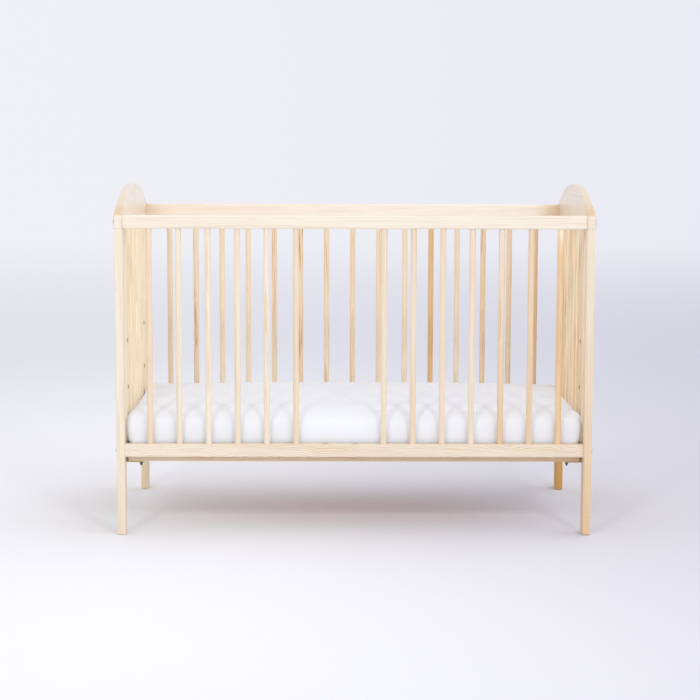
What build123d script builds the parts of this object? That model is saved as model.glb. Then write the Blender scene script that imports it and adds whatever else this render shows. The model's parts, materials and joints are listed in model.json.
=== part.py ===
# Baby crib in lacquered pine: two arched ends, four side rails with round bars,
# a slatted base that hangs at one of three heights, and a foam mattress.
# Millimetres. X runs along the crib, the front faces -Y, Z is up from the floor.
# The origin is on the floor below the middle of the crib.
import os
from math import radians, sqrt, tan

from build123d import *

os.makedirs("parts", exist_ok=True)

# Whole crib
inner_length = 1212.0
overall_width = 660.0
overall_height = 920.0
edge_round = 4.0

# Legs and arched head boards
leg_thickness = 22.0
leg_width = 45.0
foot_chamfer = 3.0
joint_chamfer = 0.6
arch_rise = 72.0
arch_corner_round = 12.0

# Side rails, seen from the front as two long bars of wood
rail_height = 35.0
rail_thickness = 22.0
rail_recess = 5.0
bottom_rail_z = 209.0

# Round bars between the side rails. Two front ones lift out and are away,
# so the front has a gap with empty sockets.
bar_diameter = 16.0
bar_count = 15
first_bar_from_end = 67.0
socket_depth = 12.0
drill_point_angle = 118.0
bar_fit = 0.15
bar_end_gap = 0.2
bars_away = ("front_bar_07", "front_bar_08")

# Uprights and the lower rail of each end. The upright beside each leg is a wide slat,
# which carries the height fittings, and those between are narrow with round edges.
upright_count = 7
slat_width = 44.0
slat_thickness = 18.0
slat_round = 3.0
narrow_slat_width = 20.0
narrow_slat_round = 6.0
tenon_shoulder = 5.0
tenon_length = 14.0
end_rail_tenon = 18.0
tenon_fit = 0.1

# Bolts, barrel nuts and dowels at the corners
bolt_diameter = 6.0
bolt_fit = 0.25
bolt_head_diameter = 13.0
bolt_head_height = 3.2
bolt_crown_share = 0.6
hex_key = 4.0
hex_depth = 1.8
barrel_nut_diameter = 10.0
barrel_nut_length = 16.0
barrel_nut_from_end = 35.0
bolt_past_nut = 8.0
rail_dowel_diameter = 6.0
rail_dowel_half = 12.0
rail_dowel_above_bolt = 11.0
leg_dowel_diameter = 8.0
leg_dowel_up = 12.0
leg_dowel_down = 24.0
leg_dowel_from_edge = 8.0
dowel_fit = 0.1

# Fittings that set the height of the base
height_count = 3
hook_above_end_rail = 11.0
height_step = 126.0
insert_diameter = 9.0
insert_length = 14.0
collar_diameter = 12.0
collar_height = 1.5
hook_diameter = 6.0
hook_in_insert = 11.0
hook_head_diameter = 12.0
hook_head_height = 3.0
hook_fit = 0.3

# Slatted base
base_z = 193.0
base_height = 35.0
base_end_gap = 6.0
base_side_gap = 5.0
base_rail_thickness = 22.0
base_end_inset = 12.0
base_tenon = 8.0
base_slat_count = 10
base_slat_width = 58.0
base_slat_thickness = 10.0
base_slat_seat = 11.0
base_slat_fit = 0.2

# Steel angles under the ends of the base
angle_thickness = 2.5
angle_foot = 44.0
angle_upstand = 25.0
angle_gap = 0.6
angle_end_inset = 1.0
ear_width = 50.0
ear_above_hook = 11.0
ear_round = 8.0
head_way = 1.0
base_bolt_diameter = 5.0
base_bolt_fit = 0.25
base_bolt_from_end = 39.0
base_bolt_head_diameter = 12.0
base_bolt_head_height = 3.0
counterbore_depth = 4.0
nut_width = 8.0
nut_height = 4.0
bolt_below_nut = 5.5

# Mattress
mattress_thickness = 100.0
mattress_crown = 8.0
mattress_end_gap = 7.0
mattress_side_gap = 3.0
mattress_corner = 32.0
mattress_edge = 26.0
mattress_draw_in = 3.0
crown_shoulder_inset = 104.0
crown_shoulder_share = 0.75
crown_top_inset = 182.0
mattress_seat_gap = 0.3

# Places worked out from the sizes above
leg_inner_x = inner_length / 2
leg_outer_x = leg_inner_x + leg_thickness
leg_mid_x = leg_inner_x + leg_thickness / 2
half_width = overall_width / 2
leg_inner_y = half_width - leg_width
spring_z = overall_height - arch_rise
head_z = spring_z - rail_height
rail_outer_y = half_width - rail_recess
rail_inner_y = rail_outer_y - rail_thickness
rail_y = (rail_outer_y + rail_inner_y) / 2
bottom_rail_top = bottom_rail_z + rail_height
bar_pitch = (inner_length - 2 * first_bar_from_end) / (bar_count - 1)
height_lowest = bottom_rail_top + hook_above_end_rail
upright_pitch = 2 * leg_inner_y / (upright_count + 1)
slat_face_x = leg_mid_x - slat_thickness / 2
end_rail_face_x = leg_mid_x - rail_thickness / 2
base_half_length = inner_length / 2 - base_end_gap
base_half_width = rail_inner_y - base_side_gap
base_top = base_z + base_height
base_rail_inner_y = base_half_width - base_rail_thickness
base_end_outer_x = base_half_length - base_end_inset
base_end_inner_x = base_end_outer_x - base_rail_thickness
angle_outer_x = leg_inner_x - angle_gap
angle_inner_x = angle_outer_x - angle_thickness
hook_y = leg_inner_y - upright_pitch
base_bolt_x = leg_inner_x - base_bolt_from_end
base_bolt_y = base_half_width - base_rail_thickness / 2
hook_head_x = angle_inner_x - hook_fit


def block(x, y, z):
    """A box between three pairs of limits."""
    size = Box(abs(x[1] - x[0]), abs(y[1] - y[0]), abs(z[1] - z[0]))
    return Pos(sum(x) / 2, sum(y) / 2, sum(z) / 2) * size


def rod_x(diameter, x, y, z):
    """A round rod along X between two x values."""
    return Pos(sum(x) / 2, y, z) * Rot(0, 90, 0) * Cylinder(diameter / 2, abs(x[1] - x[0]))


def rod_z(diameter, x, y, z):
    """A round rod along Z between two z values."""
    return Pos(x, y, sum(z) / 2) * Cylinder(diameter / 2, abs(z[1] - z[0]))


def drilled(diameter, x, y, mouth, depth, up):
    """A blind hole that opens up or down, with the cone that a drill leaves at its end."""
    end = mouth - up * depth
    point = diameter / 2 / tan(radians(drill_point_angle / 2))
    tip = Pos(x, y, end - up * point / 2) * Rot(90 + 90 * up, 0, 0) * Cone(diameter / 2, 0, point)
    return rod_z(diameter, x, y, (end, mouth)) + tip


def hex_x(width, x, y, z):
    """A hexagonal prism along X between two x values."""
    outline = Plane.YZ * RegularPolygon(width / 2, 6, major_radius=False)
    return Pos(min(x), y, z) * extrude(outline, abs(x[1] - x[0]))


def rounded(solid, axis, radius):
    """Round the long edges of a piece that lie along one axis."""
    return fillet(solid.edges().filter_by(axis), radius)


def save(name, *solids):
    """Write one named piece, or one group of like pieces."""
    shape = solids[0] if len(solids) == 1 else Compound(children=list(solids))
    export_step(shape, f"parts/{name}.step")


def bar_places():
    """The x of each bar, from the left."""
    first = first_bar_from_end - inner_length / 2
    return [first + place * bar_pitch for place in range(bar_count)]


def uprights():
    """The y of the middle and the width of each upright of an end, from the front."""
    widths = [slat_width] + [narrow_slat_width] * (upright_count - 2) + [slat_width]
    return [(place * upright_pitch - leg_inner_y, width) for place, width in enumerate(widths, 1)]


def height_places():
    """The z of each row of height fittings."""
    return [height_lowest + step * height_step for step in range(height_count)]


def leg_dowel_places(front):
    """The y of the two upright dowels in the top of one leg."""
    outer = half_width - leg_dowel_from_edge
    inner = leg_inner_y + leg_dowel_from_edge
    return [front * inner, front * outer]


def corner_joint_holes(end, front, rail_z):
    """Clearance for the bolt and the dowel where a rail meets an end."""
    middle = rail_z + rail_height / 2
    bolt_reach = leg_inner_x - barrel_nut_from_end - bolt_past_nut - bolt_fit
    dowel_reach = rail_dowel_half + dowel_fit
    y = front * rail_y
    bolt_hole = rod_x(bolt_diameter + 2 * bolt_fit, (end * bolt_reach, end * leg_outer_x), y, middle)
    dowel_span = (end * (leg_inner_x - dowel_reach), end * (leg_inner_x + dowel_reach))
    dowel_hole = rod_x(rail_dowel_diameter + 2 * dowel_fit, dowel_span, y, middle + rail_dowel_above_bolt)
    return [bolt_hole, dowel_hole]


def leg(end, front):
    """One leg, from the floor to the underside of the arched head board."""
    x = (end * leg_inner_x, end * leg_outer_x)
    y = (front * leg_inner_y, front * half_width)
    post = rounded(block(x, y, (0, head_z)), Axis.Z, edge_round)
    post = chamfer(post.faces().sort_by(Axis.Z)[0].edges(), foot_chamfer)
    post = chamfer(post.faces().sort_by(Axis.Z)[-1].edges(), joint_chamfer)
    cuts = corner_joint_holes(end, front, bottom_rail_z)
    cuts.append(end_rail_mortise(end, front))
    for dowel_y in leg_dowel_places(front):
        hole = leg_dowel_diameter + 2 * dowel_fit
        cuts.append(rod_z(hole, end * leg_mid_x, dowel_y, (head_z - leg_dowel_down - dowel_fit, head_z)))
    return post - cuts


def end_rail_mortise(end, front):
    """The pocket in a leg for the tenon of the lower end rail."""
    half = rail_thickness / 2 - tenon_shoulder + tenon_fit
    x = (end * leg_mid_x - half, end * leg_mid_x + half)
    y = (front * leg_inner_y, front * (leg_inner_y + end_rail_tenon + tenon_fit))
    low = bottom_rail_z + tenon_shoulder - tenon_fit
    high = bottom_rail_top - tenon_shoulder + tenon_fit
    return block(x, y, (low, high))


def slat_mortise(end, y, width, seat_z, up):
    """The pocket for the tenon of one upright, going up or down from a seat."""
    half_x = slat_thickness / 2 - tenon_shoulder + tenon_fit
    half_y = width / 2 - tenon_shoulder + tenon_fit
    depth = up * (tenon_length + tenon_fit)
    x = (end * leg_mid_x - half_x, end * leg_mid_x + half_x)
    return block(x, (y - half_y, y + half_y), (seat_z, seat_z + depth))


def head_board(end):
    """The board across the top of one end, with its arched upper edge."""
    rise = ThreePointArc((half_width, spring_z), (0, overall_height), (-half_width, spring_z))
    side = Line((-half_width, spring_z), (-half_width, head_z))
    base = Polyline((-half_width, head_z), (half_width, head_z), (half_width, spring_z))
    board = extrude(Plane.YZ * make_face([rise, side, base]), leg_thickness)
    board = Pos(min(end * leg_inner_x, end * leg_outer_x), 0, 0) * board
    shoulders = board.edges().filter_by(Axis.X).group_by(Axis.Z)[-1]
    board = fillet(shoulders, arch_corner_round)
    faces = board.faces().filter_by(Axis.X)
    rims = [edge for face in faces for edge in face.edges() if edge.center().Z > head_z + edge_round / 2]
    board = fillet(rims, edge_round)
    cuts = [slat_mortise(end, y, width, head_z, 1) for y, width in uprights()]
    for front in (-1, 1):
        cuts += corner_joint_holes(end, front, head_z)
        for y in leg_dowel_places(front):
            hole = leg_dowel_diameter + 2 * dowel_fit
            cuts.append(rod_z(hole, end * leg_mid_x, y, (head_z, head_z + leg_dowel_up + dowel_fit)))
    return board - cuts


def end_rail(end):
    """The lower cross rail of one end, tenoned into both legs."""
    x = (end * end_rail_face_x, end * (end_rail_face_x + rail_thickness))
    body = block(x, (-leg_inner_y, leg_inner_y), (bottom_rail_z, bottom_rail_top))
    body = rounded(body, Axis.Y, edge_round)
    half = rail_thickness / 2 - tenon_shoulder
    tenon_x = (end * leg_mid_x - half, end * leg_mid_x + half)
    reach = leg_inner_y + end_rail_tenon
    tenon_z = (bottom_rail_z + tenon_shoulder, bottom_rail_top - tenon_shoulder)
    body += block(tenon_x, (-reach, reach), tenon_z)
    return body - [slat_mortise(end, y, width, bottom_rail_top, -1) for y, width in uprights()]


def upright(end, y, width, edge):
    """One upright of an end, with a tenon at the top and at the bottom."""
    x = (end * slat_face_x, end * (slat_face_x + slat_thickness))
    body = block(x, (y - width / 2, y + width / 2), (bottom_rail_top, head_z))
    body = rounded(body, Axis.Z, edge)
    half_x = slat_thickness / 2 - tenon_shoulder
    half_y = width / 2 - tenon_shoulder
    tenon_x = (end * leg_mid_x - half_x, end * leg_mid_x + half_x)
    tenon_z = (bottom_rail_top - tenon_length, head_z + tenon_length)
    return body + block(tenon_x, (y - half_y, y + half_y), tenon_z)


def fitting_slat(end, y):
    """One wide slat beside a leg, with a pocket for each height insert."""
    span = (end * slat_face_x, end * (slat_face_x + insert_length + dowel_fit))
    hole = insert_diameter + 2 * dowel_fit
    return upright(end, y, slat_width, slat_round) - [rod_x(hole, span, y, z) for z in height_places()]


def narrow_slats(end):
    """The narrow uprights between the two wide slats of one end."""
    return [upright(end, y, width, narrow_slat_round) for y, width in uprights()[1:-1]]


def side_rail(front, rail_z, up):
    """One long rail, with a socket for each bar above or below it, and the corner joints at its ends."""
    y = (front * rail_inner_y, front * rail_outer_y)
    rail = block((-leg_inner_x, leg_inner_x), y, (rail_z, rail_z + rail_height))
    rail = rounded(rail, Axis.X, edge_round)
    mouth = rail_z + rail_height if up > 0 else rail_z
    socket = bar_diameter + 2 * bar_fit
    cuts = [drilled(socket, x, front * rail_y, mouth, socket_depth, up) for x in bar_places()]
    nut_top = rail_z + rail_height / 2 + barrel_nut_length / 2
    for end in (-1, 1):
        cuts += corner_joint_holes(end, front, rail_z)
        nut_x = end * (leg_inner_x - barrel_nut_from_end)
        cuts.append(rod_z(barrel_nut_diameter + 2 * dowel_fit, nut_x, front * rail_y, (rail_z, nut_top)))
    return rail - cuts


def bar(front, x):
    """One round bar, seated in the sockets of the lower and the upper rail."""
    reach = socket_depth - bar_end_gap
    return rod_z(bar_diameter, x, front * rail_y, (bottom_rail_top - reach, head_z + reach))


def corner_bolt(end, front, rail_z):
    """One bolt through an end into the barrel nut of a rail."""
    z = rail_z + rail_height / 2
    y = front * rail_y
    tip = leg_inner_x - barrel_nut_from_end - bolt_past_nut
    shank = rod_x(bolt_diameter, (end * tip, end * leg_outer_x), y, z)
    crown = leg_outer_x + bolt_head_height
    head = rod_x(bolt_head_diameter, (end * leg_outer_x, end * crown), y, z)
    rim = head.edges().filter_by(GeomType.CIRCLE).sort_by(Axis.X)[-1 if end > 0 else 0]
    head = fillet(rim, bolt_head_height * bolt_crown_share)
    return shank + head - hex_x(hex_key, (end * (crown - hex_depth), end * crown), y, z)


def barrel_nut(end, front, rail_z):
    """One barrel nut, with the cross hole that takes the bolt."""
    z = rail_z + rail_height / 2
    x = end * (leg_inner_x - barrel_nut_from_end)
    y = front * rail_y
    half = barrel_nut_length / 2
    nut = rod_z(barrel_nut_diameter, x, y, (z - half, z + half))
    cross = (x - barrel_nut_diameter, x + barrel_nut_diameter)
    return nut - rod_x(bolt_diameter + 2 * dowel_fit, cross, y, z)


def rail_dowel(end, front, rail_z):
    """The dowel that stops a rail from turning about its bolt."""
    z = rail_z + rail_height / 2 + rail_dowel_above_bolt
    span = (end * (leg_inner_x - rail_dowel_half), end * (leg_inner_x + rail_dowel_half))
    return rod_x(rail_dowel_diameter, span, front * rail_y, z)


def leg_dowels(end, front):
    """The two upright dowels that hold the head board on one leg."""
    span = (head_z - leg_dowel_down, head_z + leg_dowel_up)
    return [rod_z(leg_dowel_diameter, end * leg_mid_x, y, span) for y in leg_dowel_places(front)]


def height_insert(end, y, z):
    """One threaded insert, with a collar that stands proud of the slat."""
    body = rod_x(insert_diameter, (end * slat_face_x, end * (slat_face_x + insert_length)), y, z)
    face = slat_face_x - collar_height
    body += rod_x(collar_diameter, (end * face, end * slat_face_x), y, z)
    bore = hook_diameter + 2 * dowel_fit
    return body - rod_x(bore, (end * face, end * (slat_face_x + insert_length)), y, z)


def hook_screw(end, y):
    """One screw in a lowest insert, on which the base hangs."""
    z = height_lowest
    deep = slat_face_x + hook_in_insert
    shank = rod_x(hook_diameter, (end * hook_head_x, end * deep), y, z)
    crown = hook_head_x - hook_head_height
    head = rod_x(hook_head_diameter, (end * crown, end * hook_head_x), y, z)
    return shank + head - hex_x(hex_key, (end * crown, end * (crown + hex_depth)), y, z)


def base_slat_places():
    """The x of the middle of each base slat."""
    free = 2 * base_end_inner_x - base_slat_count * base_slat_width
    gap = free / (base_slat_count + 1)
    first = -base_end_inner_x + gap + base_slat_width / 2
    return [first + place * (base_slat_width + gap) for place in range(base_slat_count)]


def base_end_tenon(end, grow):
    """The tenon at both ends of a base end rail, or its pocket when grown."""
    shoulder = tenon_shoulder - grow
    x = (end * (base_end_inner_x + shoulder), end * (base_end_outer_x - shoulder))
    reach = base_rail_inner_y + base_tenon + grow
    return block(x, (-reach, reach), (base_z + shoulder, base_top - shoulder))


def base_side_rail(front):
    """One long rail of the base, notched for the slats and bored for the angle bolts."""
    y = (front * base_rail_inner_y, front * base_half_width)
    rail = block((-base_half_length, base_half_length), y, (base_z, base_top))
    rail = rounded(rail, Axis.X, slat_round)
    cuts = [base_end_tenon(end, tenon_fit) for end in (-1, 1)]
    half = base_slat_width / 2 + base_slat_fit
    seat_y = (front * base_rail_inner_y, front * (base_rail_inner_y + base_slat_seat + base_slat_fit))
    for x in base_slat_places():
        cuts.append(block((x - half, x + half), seat_y, (base_top - base_slat_thickness, base_top)))
    for end in (-1, 1):
        place = (end * base_bolt_x, front * base_bolt_y)
        cuts.append(rod_z(base_bolt_diameter + 2 * base_bolt_fit, *place, (base_z, base_top)))
        wide = base_bolt_head_diameter + 2 * base_bolt_fit
        cuts.append(rod_z(wide, *place, (base_top - counterbore_depth, base_top)))
    return rail - cuts


def base_end_rail(end):
    """One end rail of the base, set in to leave room for the hook screws."""
    x = (end * base_end_inner_x, end * base_end_outer_x)
    body = block(x, (-base_rail_inner_y, base_rail_inner_y), (base_z, base_top))
    return rounded(body, Axis.Y, slat_round) + base_end_tenon(end, 0)


def base_slat(x):
    """One cross slat of the base, let into the long rails."""
    half = base_slat_width / 2
    reach = base_rail_inner_y + base_slat_seat
    slat = block((x - half, x + half), (-reach, reach), (base_top - base_slat_thickness, base_top))
    return rounded(slat, Axis.Y, slat_round / 2)


def base_angle(end):
    """One steel angle under the base, with two ears that hook over the screws."""
    low = base_z - angle_thickness
    reach = base_half_width - angle_end_inset
    foot_x = (end * (angle_outer_x - angle_foot), end * angle_outer_x)
    plate_x = (end * angle_inner_x, end * angle_outer_x)
    angle = block(foot_x, (-reach, reach), (low, base_z))
    angle += block(plate_x, (-reach, reach), (low, low + angle_upstand))
    bend = angle.edges().filter_by(Axis.Y).group_by(Axis.Z)[0].sort_by(Axis.X)[-1 if end > 0 else 0]
    angle = fillet(bend, angle_thickness)
    ear_top = height_lowest + ear_above_hook
    half_slot = hook_diameter / 2 + hook_fit
    half_head = hook_head_diameter / 2 + head_way
    way_in = hook_head_x - hook_head_height - head_way
    cuts = []
    for y in (-hook_y, hook_y):
        ear = block(plate_x, (y - ear_width / 2, y + ear_width / 2), (low + angle_upstand, ear_top))
        top_corners = ear.edges().filter_by(Axis.X).group_by(Axis.Z)[-1]
        angle += fillet(top_corners, ear_round)
        cuts.append(block(plate_x, (y - half_slot, y + half_slot), (low, height_lowest)))
        cuts.append(rod_x(2 * half_slot, plate_x, y, height_lowest))
        head_x = (end * way_in, end * angle_outer_x)
        cuts.append(block(head_x, (y - half_head, y + half_head), (low, base_z)))
    for front in (-1, 1):
        hole = base_bolt_diameter + 2 * base_bolt_fit
        cuts.append(rod_z(hole, end * base_bolt_x, front * base_bolt_y, (low, base_z)))
    return angle - cuts


def base_bolt(end, front):
    """One bolt down through the base and the angle."""
    place = (end * base_bolt_x, front * base_bolt_y)
    seat = base_top - counterbore_depth
    tip = base_z - angle_thickness - nut_height - bolt_below_nut
    head = rod_z(base_bolt_head_diameter, *place, (seat, seat + base_bolt_head_height))
    return rod_z(base_bolt_diameter, *place, (tip, seat)) + head


def base_nut(end, front):
    """The nut that draws one angle up against the base."""
    high = base_z - angle_thickness
    outline = RegularPolygon(nut_width / 2, 6, major_radius=False)
    nut = Pos(0, 0, high - nut_height) * extrude(outline, nut_height)
    nut -= rod_z(base_bolt_diameter + 2 * dowel_fit, 0, 0, (high - nut_height, high))
    return Pos(end * base_bolt_x, front * base_bolt_y, 0) * nut


def mattress_outline(inset, z):
    """One level outline of the mattress, with its sides drawn in between round corners."""
    half_x = leg_inner_x - mattress_end_gap - inset
    half_y = rail_inner_y - mattress_side_gap - inset
    corner = mattress_corner
    slack = corner * (1 - sqrt(0.5))
    flat_x = half_x - corner
    flat_y = half_y - corner
    edges = []
    for end, front in ((1, -1), (1, 1), (-1, 1), (-1, -1)):
        along_x = (end * flat_x, front * half_y)
        along_y = (end * half_x, front * flat_y)
        rim = (end * (half_x - slack), front * (half_y - slack))
        edges.append(ThreePointArc(along_x, rim, along_y))
        if end == front:
            waist = (0, front * (half_y - mattress_draw_in))
            edges.append(ThreePointArc(along_x, waist, (-end * flat_x, front * half_y)))
        else:
            waist = (end * (half_x - mattress_draw_in), 0)
            edges.append(ThreePointArc(along_y, waist, (end * half_x, -front * flat_y)))
    return Pos(0, 0, z) * make_face(edges)


def mattress():
    """The foam mattress: rolled edges, drawn-in sides and a low crown."""
    low = base_top + mattress_seat_gap
    high = low + mattress_thickness
    roll = mattress_edge * (1 - sqrt(0.5))
    half_roll = mattress_edge / 2
    levels = [
        (half_roll, low),
        (half_roll * (1 - sqrt(0.5)), low + half_roll * (1 - sqrt(0.5))),
        (0, low + half_roll),
        (0, high - mattress_edge),
        (roll, high - roll),
        (mattress_edge, high),
        (crown_shoulder_inset, high + crown_shoulder_share * mattress_crown),
        (crown_top_inset, high + mattress_crown),
    ]
    return loft([mattress_outline(inset, z) for inset, z in levels], ruled=True)


ends = {"left": -1, "right": 1}
fronts = {"front": -1, "back": 1}
corners = [(end, front) for end in ends.values() for front in fronts.values()]
rail_corners = [(end, front, z) for end, front in corners for z in (bottom_rail_z, head_z)]
hook_places = [(end, y) for end in ends.values() for y in (-hook_y, hook_y)]

for end_name, end in ends.items():
    for front_name, front in fronts.items():
        save(f"leg_{front_name}_{end_name}", leg(end, front))
    save(f"head_board_{end_name}", head_board(end))
    save(f"end_rail_{end_name}", end_rail(end))
    save(f"end_slat_{end_name}_1", fitting_slat(end, -hook_y))
    save(f"end_slat_{end_name}_2", *narrow_slats(end))
    save(f"end_slat_{end_name}_3", fitting_slat(end, hook_y))
    save(f"base_angle_{end_name}", base_angle(end))

for front_name, front in fronts.items():
    save(f"top_rail_{front_name}", side_rail(front, head_z, -1))
    save(f"bottom_rail_{front_name}", side_rail(front, bottom_rail_z, 1))
    save(f"base_rail_{front_name}", base_side_rail(front))
    for number, x in enumerate(bar_places(), 1):
        name = f"{front_name}_bar_{number:02d}"
        if name not in bars_away:
            save(name, bar(front, x))

save("corner_bolts", *[corner_bolt(*place) for place in rail_corners])
save("barrel_nuts", *[barrel_nut(*place) for place in rail_corners])
upright = [dowel for place in corners for dowel in leg_dowels(*place)]
save("dowels", *[rail_dowel(*place) for place in rail_corners], *upright)
save("height_inserts", *[height_insert(end, y, z) for end, y in hook_places for z in height_places()])
save("hook_screws", *[hook_screw(*place) for place in hook_places])
save("base_end_rails", *[base_end_rail(end) for end in ends.values()])
save("base_slats", *[base_slat(x) for x in base_slat_places()])
save("base_bolts", *[base_bolt(*place) for place in corners])
save("base_nuts", *[base_nut(*place) for place in corners])
save("mattress", mattress())
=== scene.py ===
# %% [markdown]
# A baby crib in clear-lacquered pine: two arched ends, side rails with round bars, a slatted base on
# steel angles and a foam mattress in a white fitted sheet. The construction is loaded as a fixed frame,
# so every piece is already at its place and real size, in metres. This lesson gives it its finishes, its
# soft mattress, a studio floor, light and a camera. The frame's own box is kept first, to measure
# against.

# %% Load the crib
import json
import math
import random

import bmesh
import bpy
import numpy as np
from mathutils import Matrix, Vector


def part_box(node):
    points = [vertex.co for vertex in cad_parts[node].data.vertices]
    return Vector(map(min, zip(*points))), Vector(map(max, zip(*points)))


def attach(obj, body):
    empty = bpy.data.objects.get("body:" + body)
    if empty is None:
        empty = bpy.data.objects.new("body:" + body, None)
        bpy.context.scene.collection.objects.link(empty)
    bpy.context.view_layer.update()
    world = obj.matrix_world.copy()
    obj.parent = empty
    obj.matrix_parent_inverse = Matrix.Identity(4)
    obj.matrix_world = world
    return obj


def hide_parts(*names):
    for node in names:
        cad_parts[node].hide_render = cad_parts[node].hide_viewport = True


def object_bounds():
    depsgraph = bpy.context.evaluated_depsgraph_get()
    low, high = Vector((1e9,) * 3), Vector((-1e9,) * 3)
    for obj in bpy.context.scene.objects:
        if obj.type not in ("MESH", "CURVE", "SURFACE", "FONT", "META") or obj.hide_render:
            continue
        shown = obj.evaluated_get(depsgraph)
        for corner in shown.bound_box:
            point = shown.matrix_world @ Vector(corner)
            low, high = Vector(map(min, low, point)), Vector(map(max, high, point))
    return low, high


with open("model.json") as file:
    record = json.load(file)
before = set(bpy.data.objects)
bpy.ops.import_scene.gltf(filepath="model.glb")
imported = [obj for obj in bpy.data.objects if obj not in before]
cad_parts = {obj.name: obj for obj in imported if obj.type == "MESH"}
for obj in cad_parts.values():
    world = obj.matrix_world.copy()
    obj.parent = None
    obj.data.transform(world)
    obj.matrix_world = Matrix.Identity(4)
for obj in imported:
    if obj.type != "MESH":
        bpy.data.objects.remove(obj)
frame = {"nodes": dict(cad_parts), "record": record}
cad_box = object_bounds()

scene = bpy.context.scene
scene.view_settings.view_transform = "Standard"
print("pieces:", len(frame["nodes"]), "box:", [tuple(round(v, 4) for v in corner) for corner in cad_box])

# %% [markdown]
# The crib is seen from straight ahead, a little above its top rail, through a long lens from five metres.
# A level camera with a shifted lens would keep its uprights quite parallel, but a shift stays when the
# camera is moved round the object. So this one is tilted down by seven degrees, its lens isn't shifted,
# and the uprights lean by a hair.

# %% Camera
camera_place = Vector((-0.0511, -5.2133, 1.1073))
camera_lens = 96.48
camera_sensor = 36.0
camera_to_right = math.radians(0.456)
camera_down = math.radians(7.134)
camera_roll = math.radians(0.158)

camera_data = bpy.data.cameras.new("camera")
camera_data.lens = camera_lens
camera_data.sensor_width = camera_sensor
camera = bpy.data.objects.new("camera", camera_data)
aim = Matrix.Rotation(-camera_to_right, 4, "Z") @ Matrix.Rotation(math.pi / 2 - camera_down, 4, "X")
camera.matrix_world = Matrix.Translation(camera_place) @ aim @ Matrix.Rotation(camera_roll, 4, "Z")
scene.collection.objects.link(camera)
scene.camera = camera
crib_middle = (Vector(cad_box[0]) + Vector(cad_box[1])) / 2
print("camera", round((camera_place - crib_middle).length, 2), "m from the middle of the crib")

# %% [markdown]
# Every finish here is made of shader nodes, which could also be drawn by hand in the shader editor. One
# helper adds a node, sets it up and connects it, so that a finish reads from its first texture down to
# its shader. Colours are written as they look on a screen, from 0 to 255, and turned into the linear
# light that the shaders work in.

# %% Helpers for finishes
def colour(red, green, blue):
    """A screen colour as linear light, with full opacity."""
    screen = [value / 255 for value in (red, green, blue)]
    linear = [v / 12.92 if v <= 0.04045 else ((v + 0.055) / 1.055) ** 2.4 for v in screen]
    return (*linear, 1.0)


def add(tree, kind, inputs=(), **settings):
    """One shader node, with its settings and with inputs that are values or other nodes' outputs."""
    made = tree.nodes.new("ShaderNode" + kind)
    for key, value in settings.items():
        setattr(made, key, value)
    for key, value in dict(inputs).items():
        if isinstance(value, bpy.types.NodeSocket):
            tree.links.new(value, made.inputs[key])
        else:
            made.inputs[key].default_value = value
    return made


def new_finish(name):
    """An empty material and its node tree."""
    finish = bpy.data.materials.new(name)
    finish.use_nodes = True
    finish.node_tree.nodes.clear()
    return finish, finish.node_tree


def surface(tree, shader, output="OutputMaterial"):
    """Connect a shader to the output of its material or world."""
    add(tree, output, {"Surface": shader})


def dress(piece, finish):
    """Give a piece one finish all over."""
    piece.data.materials.clear()
    piece.data.materials.append(finish)


print("white on screen is", colour(255, 255, 255))

# %% [markdown]
# A finish is mostly sums on textures: one value times another, a noise spread over a range, two colours
# mixed. Each of these is one node, and each gets a short helper here, named for what it does.

# %% Helpers for textures
def combine(tree, operation, *values, **settings):
    """One number worked out from up to three others."""
    return add(tree, "Math", dict(enumerate(values)), operation=operation, **settings).outputs[0]


def rest_of(tree, share):
    """What a share leaves of 1."""
    return combine(tree, "SUBTRACT", 1.0, share)


def length_of(tree, vector):
    """How long a vector is."""
    return add(tree, "VectorMath", {0: vector}, operation="LENGTH").outputs["Value"]


def axes_of(tree, vector):
    """The X, Y and Z of a vector."""
    return add(tree, "SeparateXYZ", {0: vector}).outputs


def spread(tree, value, low, high, start=0.0, end=1.0, kind="LINEAR"):
    """A value that runs from start to end, spread over the range from low to high."""
    inputs = {"Value": value, "From Min": start, "From Max": end, "To Min": low, "To Max": high}
    return add(tree, "MapRange", inputs, interpolation_type=kind).outputs["Result"]


def clouds(tree, place, scale, detail):
    """A cloudy texture from 0 to 1, the same in all directions."""
    return add(tree, "TexNoise", {"Vector": place, "Scale": scale, "Detail": detail}).outputs["Fac"]


def blend_colours(tree, factor, first, second, kind="MIX"):
    """Two colours mixed by a factor."""
    made = add(tree, "Mix", {0: factor, 6: first, 7: second}, data_type="RGBA", blend_type=kind)
    return made.outputs[2]


def blend_shaders(tree, factor, first, second):
    """Two shaders mixed by a factor."""
    return add(tree, "MixShader", {0: factor, 1: first, 2: second}).outputs[0]


def ramp(tree, factor, stops):
    """A colour ramp with its stops given as position and colour."""
    made = add(tree, "ValToRGB", {"Fac": factor})
    points = made.color_ramp.elements
    while len(points) < len(stops):
        points.new(1.0)
    for point, (position, shade) in zip(points, stops):
        point.position = position
        point.color = shade
    return made.outputs["Color"]


def wave_scale(spacing):
    """The scale at which a wave texture's bands lie this far apart."""
    return math.pi / 10 / spacing


print("bands of 1 mm need a wave scale of", round(wave_scale(0.001), 1))

# %% [markdown]
# The studio is a pale seamless room with a faint violet cast, a little darker towards the right. Walls
# and a roof could be built, but they would block a camera at the side, so the room is the world itself.
# It lights everything evenly, and more from the left and the right, where white flats stand; the right
# one stands nearer. What the camera and the reflections see of it is a separate pale tone.

# %% Studio room
backdrop = {"left": colour(239, 239, 246), "right": colour(232, 232, 241)}
tone_turns = (-0.2, 0.42)
room_light = colour(250, 250, 255)
room_strength = 0.68
flat_strength = {-1: 0.44, 1: 1.1}


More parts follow.
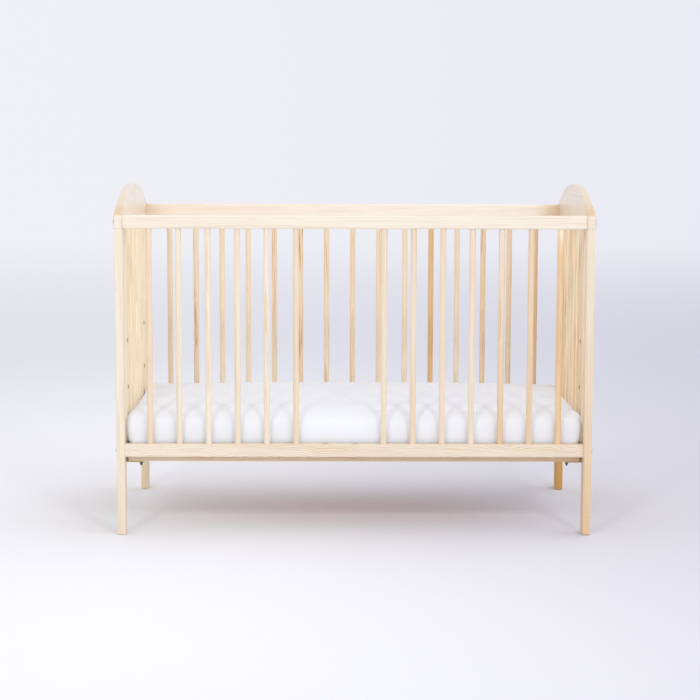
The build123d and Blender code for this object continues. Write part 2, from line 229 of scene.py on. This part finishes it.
def seen_directly(tree):
    """1 for rays of the camera, of reflections and through glass, and 0 for rays that only bring light."""
    path = add(tree, "LightPath").outputs
    seen = combine(tree, "MAXIMUM", path["Is Camera Ray"], path["Is Glossy Ray"])
    return combine(tree, "MAXIMUM", seen, path["Is Transmission Ray"])


def left_to_right(tree, aside, tones):
    """A tone that changes from left to right, with how far aside a point or a direction lies."""
    share = spread(tree, aside, 0.0, 1.0, *tone_turns, "SMOOTHSTEP")
    return blend_colours(tree, share, tones["left"], tones["right"])


world = bpy.data.worlds.new("studio")
world.use_nodes = True
scene.world = world
room = world.node_tree
room.nodes.clear()
sideways = axes_of(room, add(room, "TexCoord").outputs["Generated"])["X"]
strength = room_strength
for side, more in flat_strength.items():
    towards = combine(room, "MULTIPLY", sideways, side, use_clamp=True)
    strength = combine(room, "MULTIPLY_ADD", towards, more, strength)
lights = add(room, "Background", {"Color": room_light, "Strength": strength}).outputs[0]
shows = add(room, "Background", {"Color": left_to_right(room, sideways, backdrop)}).outputs[0]
surface(room, blend_shaders(room, seen_directly(room), lights, shows), "OutputWorld")
print("room light", room_strength, "with more from", len(flat_strength), "sides")

# %% [markdown]
# Under the crib lies pale paper. A curved paper sweep would do, but it would stand in the way of a camera
# behind the crib. So the floor is a wide disc that takes the crib's shadow, and away from the crib it
# turns, for the eye and for reflections only, into the same tone as the room around it. Half way that tone
# is a little darker: painted shade, as where such a sweep curves up. Both it and the paper are painted
# darker towards the right, for light that falls off that way. Near the crib a tenth of the even tone shows
# over the paper as well, a painted glow that lightens the shadow. Under the middle of the crib the paper
# has a painted warm tint, for the light that the wood throws back down there.

# %% Paper of the floor
# Painted shade: both tones are darker to the right, and the sweep's tone is darker half way, for light that
# falls off.
sweep_shade_tone = {"left": colour(226, 226, 235), "right": colour(210, 210, 224)}
paper_and_falloff_tone = {"left": colour(242, 242, 244), "right": colour(215, 214, 222)}
# Painted bounce light: a warm tint for the light that the wood throws down beneath the crib.
painted_bounce_tint = (1.0, 0.87, 0.84, 1.0)
painted_bounce_reach = (0.8, 0.3, 1.0)
turn_at_crib = 2.0
shadow_reach = 1.0
shadow_fade = 4.0
# Painted light: near the crib this share of the even tone glows over the paper and lightens the shadow.
shadow_veil = 0.1
sweep_end = 12.0
mottle_scale = 3.0
mottle_detail = 3.0
mottle_strength = 0.1


def even_tone_of(tree, distance, aside):
    """The tone that the floor turns into: first the sweep's, with its painted shade, and further out the
    backdrop's.
    """
    rise = spread(tree, distance, 0.0, 1.0, shadow_fade, sweep_end, "SMOOTHSTEP")
    near = left_to_right(tree, aside, sweep_shade_tone)
    return blend_colours(tree, rise, near, left_to_right(tree, aside, backdrop))


def paper_of(tree, place, aside, even_tone):
    """The paper's colour, faintly mottled and painted darker to the right, with a painted warm tint for
    bounced light beneath the crib.
    """
    mottle = spread(tree, clouds(tree, place, mottle_scale, mottle_detail), 0.0, mottle_strength)
    paper = blend_colours(tree, mottle, left_to_right(tree, aside, paper_and_falloff_tone), even_tone)
    from_crib = add(tree, "VectorMath", {0: place, 1: painted_bounce_reach}, operation="DIVIDE").outputs[0]
    # Painted bounce light, strongest beneath the middle of the crib.
    under = spread(tree, length_of(tree, from_crib), 1.0, 0.0, kind="SMOOTHSTEP")
    return blend_colours(tree, under, paper, blend_colours(tree, 1.0, paper, painted_bounce_tint, "MULTIPLY"))


def floor_paper(name):
    """Pale paper that keeps the crib's shadow and turns into an even tone away from it."""
    finish, tree = new_finish(name)
    place = add(tree, "TexCoord").outputs["Object"]
    distance = length_of(tree, place)
    aside = combine(tree, "DIVIDE", axes_of(tree, place)["X"], combine(tree, "ADD", distance, turn_at_crib))
    even_tone = even_tone_of(tree, distance, aside)
    matt = add(tree, "BsdfDiffuse", {"Color": paper_of(tree, place, aside, even_tone)}).outputs[0]
    even = add(tree, "Emission", {"Color": even_tone, "Strength": 1.0}).outputs[0]
    # The veil is a painted glow that lightens the crib's shadow.
    far = spread(tree, distance, shadow_veil, 1.0, shadow_reach, shadow_fade, "SMOOTHSTEP")
    surface(tree, blend_shaders(tree, combine(tree, "MULTIPLY", far, seen_directly(tree)), matt, even))
    return finish


print("shadow kept within", shadow_fade, "m")

# %% [markdown]
# The floor itself is one flat disc, so wide that its edge is lost in the even tone far away. A plain
# square would do as well, but a disc is equally far away all round. It belongs to the studio and not to
# the crib.

# %% Studio floor
floor_radius = 30.0
floor_sides = 96

floor_mesh = bpy.data.meshes.new("studio_floor")
disc = bmesh.new()
bmesh.ops.create_circle(disc, cap_ends=True, segments=floor_sides, radius=floor_radius)
disc.to_mesh(floor_mesh)
disc.free()
floor = bpy.data.objects.new("studio_floor", floor_mesh)
scene.collection.objects.link(floor)
dress(floor, floor_paper("studio_floor"))
print("floor reaches", floor_radius, "m each way")

# %% [markdown]
# Two square softboxes stand high in front of the crib, one to each side. Each bar then throws one shadow
# to the left and one to the right on the mattress behind it, and the two meet over its rounded edge in a
# row of soft arches. One larger lamp would wash the arches out. Their light is a little warmer than the
# room's.

# %% Softboxes
box_distance = 6.0
box_size = 0.7
box_height_angle = math.radians(30)
box_side_angle = math.radians(22)
box_aim = Vector((0, 0, 0.45))
box_power = 45.0
box_light = (1.0, 1.0, 0.95)


def softbox(side, name):
    """One square lamp that faces the crib from the front, on the given side."""
    level = math.cos(box_height_angle)
    way = Vector((side * level * math.sin(box_side_angle), -level * math.cos(box_side_angle),
                  math.sin(box_height_angle)))
    lamp = bpy.data.lights.new("softbox_" + name, "AREA")
    lamp.size = box_size
    lamp.energy = box_power
    lamp.color = box_light
    stand = bpy.data.objects.new("softbox_" + name, lamp)
    stand.location = box_aim + way * box_distance
    stand.rotation_euler = way.to_track_quat("Z", "Y").to_euler()
    scene.collection.objects.link(stand)


for side, name in ((-1, "left"), (1, "right")):
    softbox(side, name)
    print("softbox", name, box_power, "W")

# %% [markdown]
# The wood is pale pine, and each piece is sawn along its own grain. A flat picture of grain would stretch
# over edges and couldn't turn a corner, so the grain here is solid: it is worked out from each point's
# place inside its piece. That place is measured from the middle of the piece, with X along the grain.

# %% Grain of a piece
axis_order = {"X": "XYZ", "Y": "YZX", "Z": "ZXY"}
cross_pieces = ("base_slats", "base_end_rails")


def grain_of(piece):
    """A piece's grain runs along its longest side, and along each of the base's cross pieces."""
    if piece in cross_pieces:
        return "Y"
    low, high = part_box(piece)
    size = high - low
    return "XYZ"[max(range(3), key=lambda axis: size[axis])]


def half_length(piece):
    """Half the length of a piece along its grain."""
    low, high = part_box(piece)
    return (high - low)["XYZ".index(grain_of(piece))] / 2


def in_piece(tree, piece):
    """Each point's place from the middle of its piece, turned so that X runs along the grain."""
    low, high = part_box(piece)
    point = add(tree, "TexCoord").outputs["Object"]
    from_middle = add(tree, "VectorMath", {0: point, 1: (low + high) / 2}, operation="SUBTRACT").outputs[0]
    split = axes_of(tree, from_middle)
    turned = {i: split[axis] for i, axis in enumerate(axis_order[grain_of(piece)])}
    return add(tree, "CombineXYZ", turned).outputs[0]


leg_length = 2 * half_length("leg_front_left")
print("a leg's grain runs along", grain_of("leg_front_left"), "for", round(leg_length, 3), "m")

# %% [markdown]
# A tree grows a ring a year, pale in spring and darker in late summer. The rings here lie about a pith
# beside each piece, long along its length, as if each piece were sawn from its own log. Where they meet a
# face they draw straight lines or slow waves, and on a cut end they draw arcs. Plain bands would be too
# regular, so a noise bends the pith, more on the lower rails, whose grain wanders. Textures that run with
# the grain are given by their waves per metre along it and across it.

# %% Growth rings
ring_width = 0.0034
ring_wobble = (8, 15)
ring_stretch = 0.045
ring_shades = ((0, 0), (0.45, 0.12), (0.9, 1), (1, 0.05))
ring_noise = {"Detail": 2.0, "Detail Scale": 0.25, "Detail Roughness": 0.5}
pith_away = (0.035, 0.11)
log_half = 20
bend_grain = (7, 14)
bend_detail = 1.0
bend_size = 0.012


def stretched(tree, place, along, across):
    """Places scaled along and across the grain, for a texture that runs with it."""
    scale = (along, across, across)
    return add(tree, "VectorMath", {0: place, 1: scale}, operation="MULTIPLY").outputs[0]


def grain_noise(tree, place, grain, detail=2.0):
    """A noise that is long along the grain and short across it."""
    inputs = {"Vector": stretched(tree, place, *grain), "Scale": 1.0, "Detail": detail}
    return add(tree, "TexNoise", inputs).outputs


def in_log(tree, inside, draw, wander):
    """Each point's place in the log that its piece was sawn from, with a pith that bends by a noise."""
    pith = draw.uniform(*pith_away)
    side = draw.uniform(0, 2 * math.pi)
    lean = [0.0, math.radians(draw.uniform(-1, 1) * wander), math.radians(draw.uniform(-1, 1) * wander)]
    start = [draw.uniform(-log_half, log_half), pith * math.cos(side), pith * math.sin(side)]
    place = add(tree, "Mapping", {"Vector": inside, "Rotation": lean, "Location": start}).outputs[0]
    bend = grain_noise(tree, place, bend_grain, bend_detail)["Color"]
    bent = {0: bend, 1: [bend_size * wander] * 3, 2: place}
    return add(tree, "VectorMath", bent, operation="MULTIPLY_ADD").outputs[0]


def growth_rings(tree, place, draw):
    """The years' rings: 0 in the pale early wood, rising to 1 in the late wood at each ring's edge."""
    inputs = {"Vector": stretched(tree, place, ring_stretch, 1.0), "Scale": wave_scale(ring_width),
              "Distortion": draw.uniform(*ring_wobble), **ring_noise}
    rings = add(tree, "TexWave", inputs, wave_type="RINGS", rings_direction="X", wave_profile="SAW")
    stops = [(position, (shade, shade, shade, 1)) for position, shade in ring_shades]
    return ramp(tree, rings.outputs["Fac"], stops)


print("rings", ring_width * 1000, "mm apart")

# %% [markdown]
# Lacquered pine drifts slowly between cream and orange. Where a cut slants across the grain, as on the
# arches, it is warmer, most of all at 45 degrees, because such a cut drinks more lacquer. The last hand's
# breadths of the arched boards and of the back's top rail are warmer as well. That is painted light: the
# warm glow that the wood throws back, and the shade, in the corners where boards and rails meet. Painting
# each piece by hand would lose this when a piece changes, so the warmth is worked out from the direction of
# a face and from how near it is to the ends. The trimmed edge of an end stays pale.

# %% Warmth of the wood
drift_grain = (1.6, 22)
slant_warmth = 0.6
slant_most = 0.25
end_reach = 0.09
trim_width = 0.01


def end_facing(tree, piece):
    """How squarely a face looks along the grain: 1 on a cut end, 0 on a long side."""
    normal = axes_of(tree, add(tree, "NewGeometry").outputs["Normal"])[grain_of(piece)]
    return combine(tree, "MULTIPLY", normal, normal)


def end_to_end(tree, piece, inside, values):
    """A value that changes evenly from one end of a piece to the other."""
    half = half_length(piece)
    return spread(tree, axes_of(tree, inside)["X"], *values, -half, half)


def near_ends(tree, piece, inside, length, kind="LINEAR"):
    """1 at both ends of a piece, falling to 0 over a length."""
    half = half_length(piece)
    from_middle = combine(tree, "ABSOLUTE", axes_of(tree, inside)["X"])
    return spread(tree, from_middle, 0.0, 1.0, half - length, half, kind)


def warmth_at(tree, piece, inside, place, warmth, end_tone_and_corner_glow, drift_size):
    """How warm the ground is: from end to end, with a slow drift, slanting cuts, and warmer ends that are
    partly tone and partly painted corner glow and shade.
    """
    drift = spread(tree, grain_noise(tree, place, drift_grain)["Fac"], -drift_size, drift_size)
    total = combine(tree, "ADD", end_to_end(tree, piece, inside, warmth), drift)
    square = end_facing(tree, piece)
    side = rest_of(tree, square)
    untrimmed = rest_of(tree, near_ends(tree, piece, inside, trim_width))
    slant = combine(tree, "MULTIPLY", combine(tree, "MULTIPLY", square, side), untrimmed)
    total = combine(tree, "MULTIPLY_ADD", slant, slant_warmth / slant_most, total)
    # Warmer ends: on the arched boards and the back's top rail this is painted glow and shade of their
    # corners; on other pieces it is tone.
    ends = combine(tree, "MULTIPLY", side, near_ends(tree, piece, inside, end_reach, "SMOOTHSTEP"))
    return combine(tree, "MULTIPLY_ADD", ends, end_to_end(tree, piece, inside, end_tone_and_corner_glow), total)


print("ends are warmer over", end_reach * 1000, "mm, slanting cuts by up to", slant_warmth)

# %% [markdown]
# The finished wood is that ground, darker in the late wood of the rings, with a few long brown streaks of
# resin and speckled by fibres, under a thin clear coat. The ends of legs, rails and slats get a hairline
# of shade, where they meet the next piece. Real pores are too fine to model, so a slight bump keeps the
# wood uneven under its smooth lacquer.

# %% Lacquered pine
pale_wood = colour(239, 231, 216)
warm_wood = colour(219, 168, 90)
late_wood = colour(207, 160, 102)
streak_wood = colour(184, 124, 58)
shade_wood = colour(120, 92, 60)
ring_strength = 0.3
patch_grain = (3, 70)
resin_grain = (5, 170)
resin_from = (0.54, 0.68)
fibre_grain = (9, 620)
fibre_detail = 3.0
fibre_shades = ((0.25, (0.92, 0.905, 0.88, 1)), (0.7, (1.0, 1.0, 1.0, 1)))
jointed_pieces = ("leg", "top_rail", "bottom_rail", "end_")
joint_line = 0.0009
joint_shade = 0.5
wood_roughness = (0.6, 0.48)
wood_relief = {"Strength": 0.12, "Distance": 0.0004}
wood_specular = 0.5
coat_roughness = 0.12


def figured(tree, place, ground, late, fibre, figure, streak):
    """The ground with its rings, stronger in some patches than in others, its streaks and its fibres."""
    patch = grain_noise(tree, place, patch_grain)["Fac"]
    depth = spread(tree, patch, 0.0, 2 * figure * ring_strength)
    ringed = blend_colours(tree, combine(tree, "MULTIPLY", late, depth), ground, late_wood)
    resin = grain_noise(tree, place, resin_grain)["Fac"]
    streaked = blend_colours(tree, spread(tree, resin, 0.0, streak, *resin_from), ringed, streak_wood)
    return blend_colours(tree, 1.0, streaked, ramp(tree, fibre, fibre_shades), "MULTIPLY")


def pine(piece, warmth, wander=0.6, figure=0.8, shine=0.25, pale=pale_wood, end_tone_and_corner_glow=(0, 0),
         drift_size=0.16, streak=0.12):
    """Lacquered pine for one piece: its warmth at both ends, how its grain wanders and shows, its shine."""
    draw = random.Random("pine " + piece)
    finish, tree = new_finish("pine_" + piece)
    inside = in_piece(tree, piece)
    place = in_log(tree, inside, draw, wander)
    late = growth_rings(tree, place, draw)
    fibre = grain_noise(tree, place, fibre_grain, fibre_detail)["Fac"]
    warm = warmth_at(tree, piece, inside, place, warmth, end_tone_and_corner_glow, drift_size)
    ground = blend_colours(tree, warm, pale, warm_wood)
    wood = figured(tree, place, ground, late, fibre, figure, streak)
    if piece.startswith(jointed_pieces):
        line = spread(tree, near_ends(tree, piece, inside, joint_line), 0.0, joint_shade)
        wood = blend_colours(tree, line, wood, shade_wood)
    uneven = add(tree, "Bump", {"Height": combine(tree, "ADD", late, fibre), **wood_relief}).outputs[0]
    surface(tree, add(tree, "BsdfPrincipled", {
        "Base Color": wood, "Roughness": spread(tree, fibre, *wood_roughness), "Normal": uneven,
        "Specular IOR Level": min(wood_specular, shine),
        "Coat Weight": shine, "Coat Roughness": coat_roughness,
    }).outputs[0])
    return finish


print("pale wood", [round(v, 3) for v in pale_wood[:3]], "warm wood", [round(v, 3) for v in warm_wood[:3]])

# %% [markdown]
# No two pieces of pine have the same tone. Most are pale; the back bars are a little yellower, and a few
# bars and the right back leg are plainly orange, some only at one end. A few bars are strongly streaked.
# The legs grow warmer and darker towards the floor, most of all the front right one. That is painted shade
# for the light falling off low down; on the right back leg it is partly the leg's own orange too. The back
# bars and the back left leg have a paler ground, painted light that makes up for the shade they stand in.
# One finish for all would look like plastic, so each piece has its own. The arched boards have the
# smoothest lacquer, which mirrors the back rail at a flat angle, and the slats of the ends are nearly matt.
# Warmth is given for both ends of a piece, its lower, left or front end first.

# %% Tones of the pieces
usual_tone = {"back_bar": (0.16, 0.3), "": (0.08, 0.18)}
tone_of = {
    "back_bar_06": (0.38, 0.3), "back_bar_11": (0.75, 0.75), "back_bar_13": (0.42, 0.42),
    "back_bar_14": (0.36, 0.36), "back_bar_15": (0.55, 0.55), "front_bar_01": (0.27, 0.25),
    "front_bar_06": (0.28, 0.28), "front_bar_10": (0.24, 0.24), "front_bar_11": (0.22, 0.22),
    "front_bar_13": (0.6, 0.1), "front_bar_14": (0.42, 0.38), "front_bar_15": (0.62, 0.6),
    # The legs' warmer lower ends are painted shade, for light that falls off towards the floor; the right
    # back leg is partly orange of its own.
    "leg_back_left": (0.22, 0.1), "leg_back_right": (1.0, 0.5), "leg_front_left": (0.16, 0.0),
    "leg_front_right": (0.52, 0.1), "top_rail_front": (0.0, 0.0), "top_rail_back": (0.13, 0.0),
    "bottom_rail_front": (0.03, 0.12), "base_rail_front": (0.32, 0.5),
    "head_board_left": (0.0, 0.14), "head_board_right": (0.02, 0.16),
    "end_slat_left_1": (0.05, 0.05), "end_slat_left_2": (0.04, 0.08), "end_slat_left_3": (0.1, 0.1),
    "end_slat_right_1": (0.2, 0.14), "end_slat_right_2": (0.22, 0.12), "end_slat_right_3": (0.25, 0.2),
}
streak_of = {
    "back_bar_02": 0.75, "back_bar_05": 0.4, "back_bar_06": 0.9, "back_bar_07": 0.5, "back_bar_11": 0.4,
    "back_bar_13": 0.75, "back_bar_14": 0.5, "back_bar_15": 0.4, "front_bar_13": 0.4, "front_bar_15": 0.3,
}
slat_look = {"wander": 0.5, "shine": 0.05, "pale": colour(250, 237, 212)}
rail_look = {"wander": 0.4, "figure": 0.45}
look_of = {
    # Warmer ends: painted glow and shade of the corners where the arched boards meet the rails and legs.
    "head_board": {"wander": 1.0, "figure": 1.0, "shine": 0.7, "end_tone_and_corner_glow": (0.35, 0.15)},
    # A paler ground: painted light, making up for the shade this leg stands in.
    "leg_back_left": {"pale": colour(254, 242, 218)},
    "leg_back_right": {"wander": 0.8, "figure": 1.6, "pale": colour(255, 245, 205), "streak": 0.3},
    "end_slat_right": {**slat_look, "figure": 1.6, "drift_size": 0.5, "streak": 0.35},
    "end_slat": {**slat_look, "figure": 0.9, "drift_size": 0.4},
    # Warmer ends: painted glow and shade of the corners where this rail meets the arched boards.
    "top_rail_back": {**rail_look, "pale": colour(250, 243, 232), "end_tone_and_corner_glow": (0.12, 0.45)},
    "top_rail": rail_look,
    "front_bar_15": {"figure": 1.0, "pale": colour(252, 238, 212), "end_tone_and_corner_glow": (0, -0.7)},
    # A paler ground: painted light, making up for the shade the back bars stand in behind the front ones.
    "back_bar": {"pale": colour(245, 235, 215)},
    "bottom_rail": {"wander": 2.6, "figure": 1.6},
    "base_rail": {"wander": 2.2, "figure": 1.2, "shine": 0.15, "streak": 0.2},
    "": {},
}
print("pieces with a tone of their own:", len(tone_of), "and with strong streaks:", len(streak_of))

# %% [markdown]
# Each pine piece now gets its own finish. One material with a random number for each object would be
# shorter, but then no piece could be given its own tone. The pieces are taken in the order of their
# names, so that the usual tones come out the same each time.

# %% Dress the pine pieces
def by_name(piece, choices):
    """The value of the first group that a piece's name starts with."""
    return next(value for start, value in choices.items() if piece.startswith(start))


slots = {row["node"]: row["material_slot"] for row in frame["record"]["subparts"]}
pine_pieces = sorted(name for name, slot in slots.items() if slot == "pine")
tones = random.Random("tones")
for piece in pine_pieces:
    usual = tones.uniform(*by_name(piece, usual_tone))
    look = dict(by_name(piece, look_of))
    if piece in streak_of:
        look["streak"] = streak_of[piece]
    dress(frame["nodes"][piece], pine(piece, tone_of.get(piece, (usual, usual)), **look))
print("pine pieces:", len(pine_pieces))

# %% [markdown]
# The corner bolts, barrel nuts and hook screws are bright zinc-plated steel, the angles under the base and
# the height inserts have the yellow skin of passivated zinc, and the angles' bolts and nuts are a dark,
# nearly black steel. All three are metal shaders with a cloudy tint and fine rubbed marks; a plain grey
# would look like plastic.

# %% Plated steel
cloud_scale = 60.0
cloud_detail = 3.0
cloud_contrast = (-0.3, 1.3)
rub_scale = 900.0
rub_detail = 2.0
rub_roughness = 0.08
rub_relief = {"Strength": 0.1, "Distance": 0.0002}


def plated(name, first, second, roughness):
    """Plated steel, with the cloudy tint that the bath leaves and fine rubbed marks."""
    finish, tree = new_finish(name)
    place = add(tree, "TexCoord").outputs["Object"]
    cloud = clouds(tree, place, cloud_scale, cloud_detail)
    fine = clouds(tree, place, rub_scale, rub_detail)
    surface(tree, add(tree, "BsdfPrincipled", {
        "Base Color": blend_colours(tree, spread(tree, cloud, *cloud_contrast), first, second),
        "Metallic": 1.0,
        "Roughness": spread(tree, fine, roughness - rub_roughness, roughness + rub_roughness),
        "Normal": add(tree, "Bump", {"Height": fine, **rub_relief}).outputs[0],
    }).outputs[0])
    return finish


steels = {
    "bright_steel": plated("bright_steel", colour(196, 197, 196), colour(214, 213, 208), 0.3),
    "zinc_steel": plated("zinc_steel", colour(200, 176, 104), colour(184, 172, 120), 0.34),
    "black_steel": plated("black_steel", colour(84, 70, 54), colour(66, 56, 46), 0.5),
}
steel_of = {"base_bolts": "black_steel", "base_nuts": "black_steel", "height_inserts": "zinc_steel"}
steel_pieces = [piece for piece, slot in slots.items() if slot in steels]
for piece in steel_pieces:
    dress(frame["nodes"][piece], steels[steel_of.get(piece, slots[piece])])
print("steel pieces:", len(steel_pieces))

# %% [markdown]
# The dowels are out of sight in their holes. They are turned from plain wood and never lacquered, so they
# get the same pine as the rest, warmer and without its shine.

# %% Dowels
dress(frame["nodes"]["dowels"], pine("dowels", (0.5, 0.5), wander=1.0, figure=1.0, shine=0.0))
print("dowels dressed in", frame["nodes"]["dowels"].data.materials[0].name)

# %% [markdown]
# The mattress is a foam block in a white fitted sheet: flat below, softly crowned above, with full sides.
# A smoothed box would look hard, so the form is inflated later. Here a slightly smaller copy of the plain
# block is remeshed into even cells, so that it can bulge evenly.

# %% Mattress form
cell = 0.008
shrunk = Vector((0.990, 0.982, 0.93))

rest_low, rest_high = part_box("mattress")
mattress_mesh = frame["nodes"]["mattress"].data.copy()
mattress_mesh.transform(Matrix.Translation((0, 0, rest_low.z)) @ Matrix.Diagonal((*shrunk, 1))
                        @ Matrix.Translation((0, 0, -rest_low.z)))
mattress = bpy.data.objects.new("mattress_in_sheet", mattress_mesh)
scene.collection.objects.link(mattress)


def settle(piece):
    """Replace a piece's mesh by what its modifiers make of it, and drop the modifiers."""
    graph = bpy.context.evaluated_depsgraph_get()
    made = bpy.data.meshes.new_from_object(piece.evaluated_get(graph))
    piece.modifiers.clear()
    piece.data = made


remesh = mattress.modifiers.new("even_cells", "REMESH")
remesh.mode = "VOXEL"
remesh.voxel_size = cell
settle(mattress)
print("mattress cells:", len(mattress.data.polygons))

# %% [markdown]
# A sheet drawn tight over foam is under tension, so it rounds the edges and fills the sides. Sculpting
# could do this by hand; cloth with a little pressure inside, held flat at the bottom, does it evenly.
# Each point's travel is limited.

# %% Inflate the mattress
held_height = 0.006
puff_steps = 16
puff_pressure = 0.5
puff_limit = 0.010
sheet_stiffness = 60.0
sheet_bending = 8.0
next_to_nothing = 1e-9


def points_of(mesh):
    """A mesh's points as rows of x, y and z."""
    rows = np.zeros(len(mesh.vertices) * 3)
    mesh.vertices.foreach_get("co", rows)
    return rows.reshape(-1, 3)


def inflate(piece):
    """Blow a closed form up as cloth, held at its bottom."""
    before = points_of(piece.data)
    held = piece.vertex_groups.new(name="held")
    held.add([int(i) for i in np.where(before[:, 2] < rest_low.z + held_height)[0]], 1.0, "ADD")
    cloth = piece.modifiers.new("puff", "CLOTH")
    cloth.settings.use_pressure = True
    cloth.settings.uniform_pressure_force = puff_pressure
    cloth.settings.tension_stiffness = sheet_stiffness
    cloth.settings.compression_stiffness = sheet_stiffness
    cloth.settings.bending_stiffness = sheet_bending
    cloth.settings.vertex_group_mass = held.name
    cloth.settings.effector_weights.gravity = 0.0
    cloth.point_cache.frame_end = puff_steps
    for step in range(1, puff_steps + 1):
        scene.frame_set(step)
    settle(piece)
    moved = points_of(piece.data) - before
    length = np.linalg.norm(moved, axis=1, keepdims=True)
    moved *= np.minimum(1.0, puff_limit / np.maximum(length, next_to_nothing))
    piece.data.vertices.foreach_set("co", (before + moved).ravel())
    piece.vertex_groups.clear()
    scene.frame_set(1)
    travel = [round(float(value), 4) for value in (length.max(), length.mean())]
    print("mattress points moved at most and on average, in metres:", travel)


inflate(mattress)

# %% [markdown]
# Pressure alone leaves a pillow, and a mattress is squarer. Its upright corners and the upper edges of
# its ends are filled, from a round towards a square outline, and the lower edges of its ends are drawn
# in, as the sheet's elastic does. Low down, the ends also give way to the hook screws and the ears of the
# angles, which press four dents into them. A lattice could do the same, but it would bend the flat faces
# too, so each rule here moves only the points near its own edge.

# %% Edges and dents of the mattress
corner_power = 4.0
tuck_depth = 0.014
tuck_height = 0.055
tuck_near_end = 12
ear_middle = 0.214
ear_half = 0.027
ear_top = 0.268
ear_face = 0.5992
ear_ease = 0.02


def fill_edge(points, axes, middle, half, reach):
    """Push the edges between two directions out, most of all on their diagonal."""
    aside = points[:, axes] - middle
    beyond = np.maximum(np.abs(aside) - (half - reach), next_to_nothing)
    power = (beyond ** corner_power).sum(1) ** (1 / corner_power)
    grown = beyond * (np.hypot(*beyond.T) / power)[:, None]
    points[:, axes] += np.sign(aside) * (grown - beyond)


def tuck_under(points, half, bottom):
    """Draw the lower edge of both ends in, more and more towards the bottom."""
    low = np.clip(1 - (points[:, 2] - bottom) / tuck_height, 0, 1) ** 2
    near_end = np.abs(points[:, 0] / half) ** tuck_near_end
    points[:, 0] -= np.sign(points[:, 0]) * near_end * low * tuck_depth


def press_ends(points, longest):
    """Dent both ends where the ears and hook screws stand against them."""
    beside = (np.abs(np.abs(points[:, 1]) - ear_middle) - ear_half) / ear_ease
    above = (points[:, 2] - ear_top) / ear_ease
    away = np.clip(np.maximum(beside, above), 0, 1)
    room = ear_face + (longest - ear_face) * away * away * (3 - 2 * away)
    points[:, 0] = np.clip(points[:, 0], -room, room)


print("dents", 2 * ear_half, "m wide,", ear_middle, "m to each side of the middle")

# %% [markdown]
# A mattress of this kind fills its crib from end to end. So the inflated form is scaled to the plain
# block's own box, a little longer, to touch the legs at both ends, and then its edges and dents are made.
# Scaling in the viewport would do for one look, but here it follows the frame's own box.

# %% Fit the mattress to the crib
end_fill = 0.0065
corner_reach = 0.045
edge_reach = 0.045


def scale_to(points, low, high):
    """Scale points to fill a box."""
    return low + (points - points.min(0)) * (high - low) / (points.max(0) - points.min(0))


fill = np.array((end_fill, 0, 0))
points = scale_to(points_of(mattress.data), np.array(rest_low) - fill, np.array(rest_high) + fill)
half = points[:, :2].max(0)
height = rest_high.z - rest_low.z
fill_edge(points, [0, 1], np.zeros(2), half, corner_reach)
fill_edge(points, [0, 2], np.array((0, rest_low.z)), np.array((half[0], height)), edge_reach)
tuck_under(points, half[0], rest_low.z)
press_ends(points, half[0])
mattress.data.vertices.foreach_set("co", points.ravel())
mattress.data.update()
print("mattress box", points.min(0).round(4), points.max(0).round(4))

# %% [markdown]
# The sheet is white cotton. Its weave is too fine to model, so it is a relief of crossing threads on each
# side, with a slow unevenness of tone and a soft sheen. On each face the two sets of threads that cross
# it show.

# %% White cotton
thread_spacing = 0.0007
thread_wobble = {"Distortion": 1.0, "Detail Scale": 0.3}
cotton_shades = (colour(230, 233, 240), colour(237, 239, 244))
cotton_scale = 9.0
cotton_detail = 4.0
cotton_relief = {"Strength": 0.25, "Distance": 0.0002}
cotton_roughness = 0.9
cotton_sheen = {"Sheen Weight": 0.2, "Sheen Roughness": 0.5}


def cotton(name):
    """White cotton: a fine plain weave in relief, slight unevenness and a soft sheen."""
    finish, tree = new_finish(name)
    place = add(tree, "TexCoord").outputs["Object"]
    normal = axes_of(tree, add(tree, "NewGeometry").outputs["Normal"])
    weave = 0.0
    for axis in "XYZ":
        inputs = {"Vector": place, "Scale": wave_scale(thread_spacing), **thread_wobble}
        thread = add(tree, "TexWave", inputs, bands_direction=axis).outputs["Fac"]
        lying = rest_of(tree, combine(tree, "ABSOLUTE", normal[axis]))
        weave = combine(tree, "MULTIPLY_ADD", thread, lying, weave)
    cloth = blend_colours(tree, clouds(tree, place, cotton_scale, cotton_detail), *cotton_shades)
    relief = add(tree, "Bump", {"Height": weave, **cotton_relief}).outputs[0]
    surface(tree, add(tree, "BsdfPrincipled", {
        "Base Color": cloth, "Roughness": cotton_roughness, "Normal": relief, **cotton_sheen,
    }).outputs[0])
    return finish


dress(mattress, cotton("white_cotton"))
print("threads", thread_spacing * 1000, "mm apart")

# %% [markdown]
# A sheet has no facets, so the mattress is shaded smooth and divided once more. It stands for the plain
# block of the frame and rides with it when it is lifted out.

# %% Mattress in its sheet
finer_levels = 1

for face in mattress.data.polygons:
    face.use_smooth = True
finer = mattress.modifiers.new("finer", "SUBSURF")
finer.levels = finer_levels
finer.render_levels = finer_levels
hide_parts("mattress")
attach(mattress, "mattress")
print("mattress faces, shaded smooth:", len(mattress.data.polygons))
